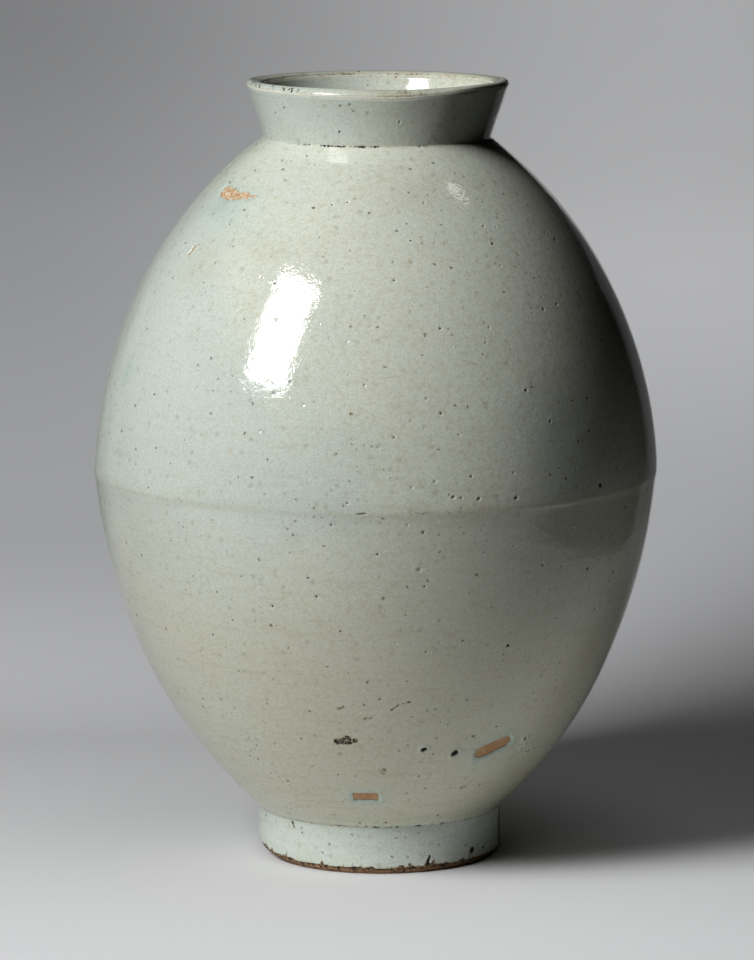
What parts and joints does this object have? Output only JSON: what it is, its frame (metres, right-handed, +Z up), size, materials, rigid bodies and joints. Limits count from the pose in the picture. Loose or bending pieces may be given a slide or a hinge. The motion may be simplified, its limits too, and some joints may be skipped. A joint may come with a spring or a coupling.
{
  "type": "moon jar",
  "caption": "Tall egg-shaped porcelain storage jar with a flared neck, a foot ring and a joint line round the belly, coated in pale blue-white glaze.",
  "frame": {"origin": "centre of the foot ring on the plane that the jar stands on", "axes": "+Z up along the jar's axis, -Y towards the viewer of the picture, +X to the viewer's right"},
  "size_m": [0.3263, 0.3264, 0.45],
  "materials": {
    "clay": "bare fired porcelain body, matt and orange-brown where the kiln flashed it",
    "slip": "fired luting slip, matt",
    "glaze": "glossy pale blue-white feldspar glaze with pinholes and iron specks"
  },
  "bodies": {
    "root": {"lower_bowl": "clay", "upper_bowl": "clay", "neck_collar": "clay", "foot_ring": "clay", "belly_slip": "slip", "neck_slip": "slip", "foot_slip": "slip", "outer_glaze": "glaze", "lip_glaze": "glaze", "inner_glaze": "glaze", "base_glaze": "glaze"}
  },
  "joints": []
}
